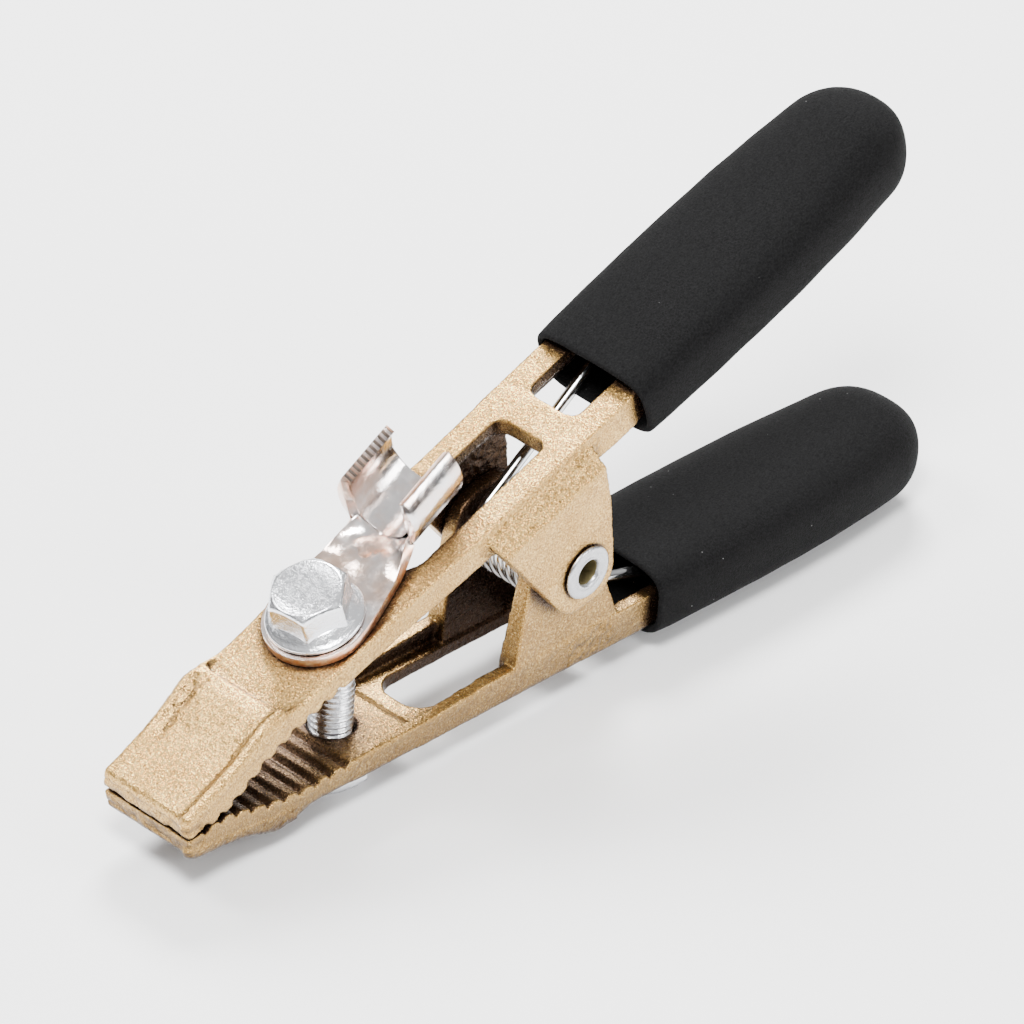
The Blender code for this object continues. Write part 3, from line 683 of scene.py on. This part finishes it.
def cable_lug(sheet, edge, mark):
    """Round palm, neck and open barrel, pressed from one sheet, with bare copper at the cut edges.

    The far wing's edge has notches and dark bands across it.
    """
    stations = [-PALM_RADIUS * cos(pi / 2 * k / 16) for k in range(1, 17)]
    stations += [BARREL_START * k / 36 for k in range(1, 36)]
    stations += [BARREL_START - 0.2, BARREL_START]
    stations += [BARREL_START + BARREL_LENGTH * k / 44 for k in range(1, 45)]
    across = 64
    shares = [-1 + 2 * k / across for k in range(across + 1)]
    rows = []
    for i, s in enumerate(stations):
        reach = 1 - NOTCH * (i % 2) / (BARREL_ARC * BARREL_RADIUS) if s > BARREL_START else 1.0
        rows.append([lug_point(s, t) for t in shares[:-1]] + [lug_point(s, reach)])
    points = [p for row in rows for p in row]
    width = across + 1
    faces = []
    for i in range(len(rows) - 1):
        for k in range(across):
            a = i * width + k
            faces.append((a, a + width, a + width + 1, a + 1))
    tip = len(points)
    points.append(Vector((-PALM_RADIUS, 0, 0)))
    faces += [(k, k + 1, tip) for k in range(across)]
    place = (strap_place() @ Matrix.Rotation(LUG_YAW, 4, "Z")
             @ Matrix.Translation((0, 0, LUG_THICKNESS / 2 + LUG_GAP)))
    lug = mesh_object("cable_lug_sheet", points, faces, place)
    for material in (sheet, edge, mark):
        lug.data.materials.append(material)
    solid = lug.modifiers.new("sheet", "SOLIDIFY")
    solid.thickness = LUG_THICKNESS * MM
    solid.offset = 0.0
    solid.material_offset_rim = 1
    soften = lug.modifiers.new("edges", "BEVEL")
    soften.width = 0.3 * MM
    soften.segments = 2
    soften.angle_limit = radians(50)
    lug = baked(lug)
    inverse = place.inverted()
    front = BARREL_START + 0.8
    back = BARREL_START + BARREL_LENGTH - 0.2
    for face in lug.data.polygons:
        centre = inverse @ face.center
        if face.material_index and abs(centre.x - BARREL_START) < 0.8:
            face.material_index = 0
        elif face.material_index and front < centre.x < back and centre.y > 0:
            face.material_index = 2 * (int(centre.x / MARK_PITCH * 2) % 2)
    lug.data.shade_smooth()
    return keep(lug, "upper", sheet, replaces=("cable_lug",))


# ---------------------------------------------------------------- studio

def studio():
    """A plain pale floor, a soft sky that darkens towards the floor, and the light panels."""
    bpy.ops.mesh.primitive_plane_add(size=40, location=(0, 0, -0.0003))
    floor = bpy.context.object
    floor.name = "floor"
    pale = Shader("pale_floor", 0.9, 0.0)
    pale.surface.inputs["Base Color"].default_value = (1.0, 1.0, 1.0, 1)
    pale.surface.inputs["Specular IOR Level"].default_value = 0.1
    floor.data.materials.append(pale.material)

    world = bpy.data.worlds.new("studio")
    world.use_nodes = True
    bpy.context.scene.world = world
    tree = world.node_tree
    back = tree.nodes["Background"]
    back.inputs["Strength"].default_value = 0.8
    place = tree.nodes.new("ShaderNodeTexCoord")
    split = tree.nodes.new("ShaderNodeSeparateXYZ")
    ramp = tree.nodes.new("ShaderNodeValToRGB")
    ramp.color_ramp.elements[0].position = 0.08
    ramp.color_ramp.elements[0].color = (0.12, 0.12, 0.125, 1)
    ramp.color_ramp.elements[1].position = 0.55
    ramp.color_ramp.elements[1].color = (1.0, 1.0, 1.0, 1)
    tree.links.new(place.outputs["Generated"], split.inputs[0])
    tree.links.new(split.outputs["Z"], ramp.inputs["Fac"])
    tree.links.new(ramp.outputs["Color"], back.inputs["Color"])

    for settings in PANELS:
        panel(*settings)


def panel(name, spot, size, power):
    """A round soft light that faces the middle of the clamp."""
    light = bpy.data.lights.new(name, "AREA")
    light.shape = "DISK"
    light.size = size
    light.energy = power
    obj = bpy.data.objects.new(name, light)
    obj.location = spot
    obj.rotation_euler = (Vector((0, 0, 0.04)) - Vector(spot)).to_track_quat("-Z", "Y").to_euler()
    bpy.context.scene.collection.objects.link(obj)


def camera():
    """A long lens from the nose end, above and to the near side of the clamp."""
    right, up = Vector(CAMERA_RIGHT), Vector(CAMERA_UP)
    local = Matrix((right, up, right.cross(up))).transposed().to_4x4()
    data = bpy.data.cameras.new("camera")
    data.lens = LENS
    data.sensor_width = SENSOR
    data.clip_start = 0.05
    data.clip_end = 50.0
    obj = bpy.data.objects.new("camera", data)
    turn = Matrix.Rotation(-TILT, 4, "Y") @ local
    obj.matrix_world = Matrix.Translation(CLAMP @ Vector(CAMERA_PLACE)) @ turn
    bpy.context.scene.collection.objects.link(obj)
    bpy.context.scene.camera = obj


def main():
    foam, zinc = black_foam(), bright_zinc()
    cast_arm("upper_arm", "upper", cast_brass("upper_brass_grain", 1.0))
    # The lower arm's brass is a darker copy at tone 0.75: painted shade, as it lies under the upper arm
    cast_arm("lower_arm", "lower", cast_brass("lower_brass_grain_in_painted_shade", 0.75))
    foam_grip("upper_grip", "upper", foam)
    foam_grip("lower_grip", "lower", foam)
    lug_bolt(zinc)
    lower_bolt(zinc)
    pivot_rivet(bright_zinc("rivet_zinc", 0.28, 0.58), rivet_bore())
    torsion_spring(spring_steel())
    cable_lug(tinned_copper(), cut_copper(), dark_edge_band())
    studio()
    camera()


main()
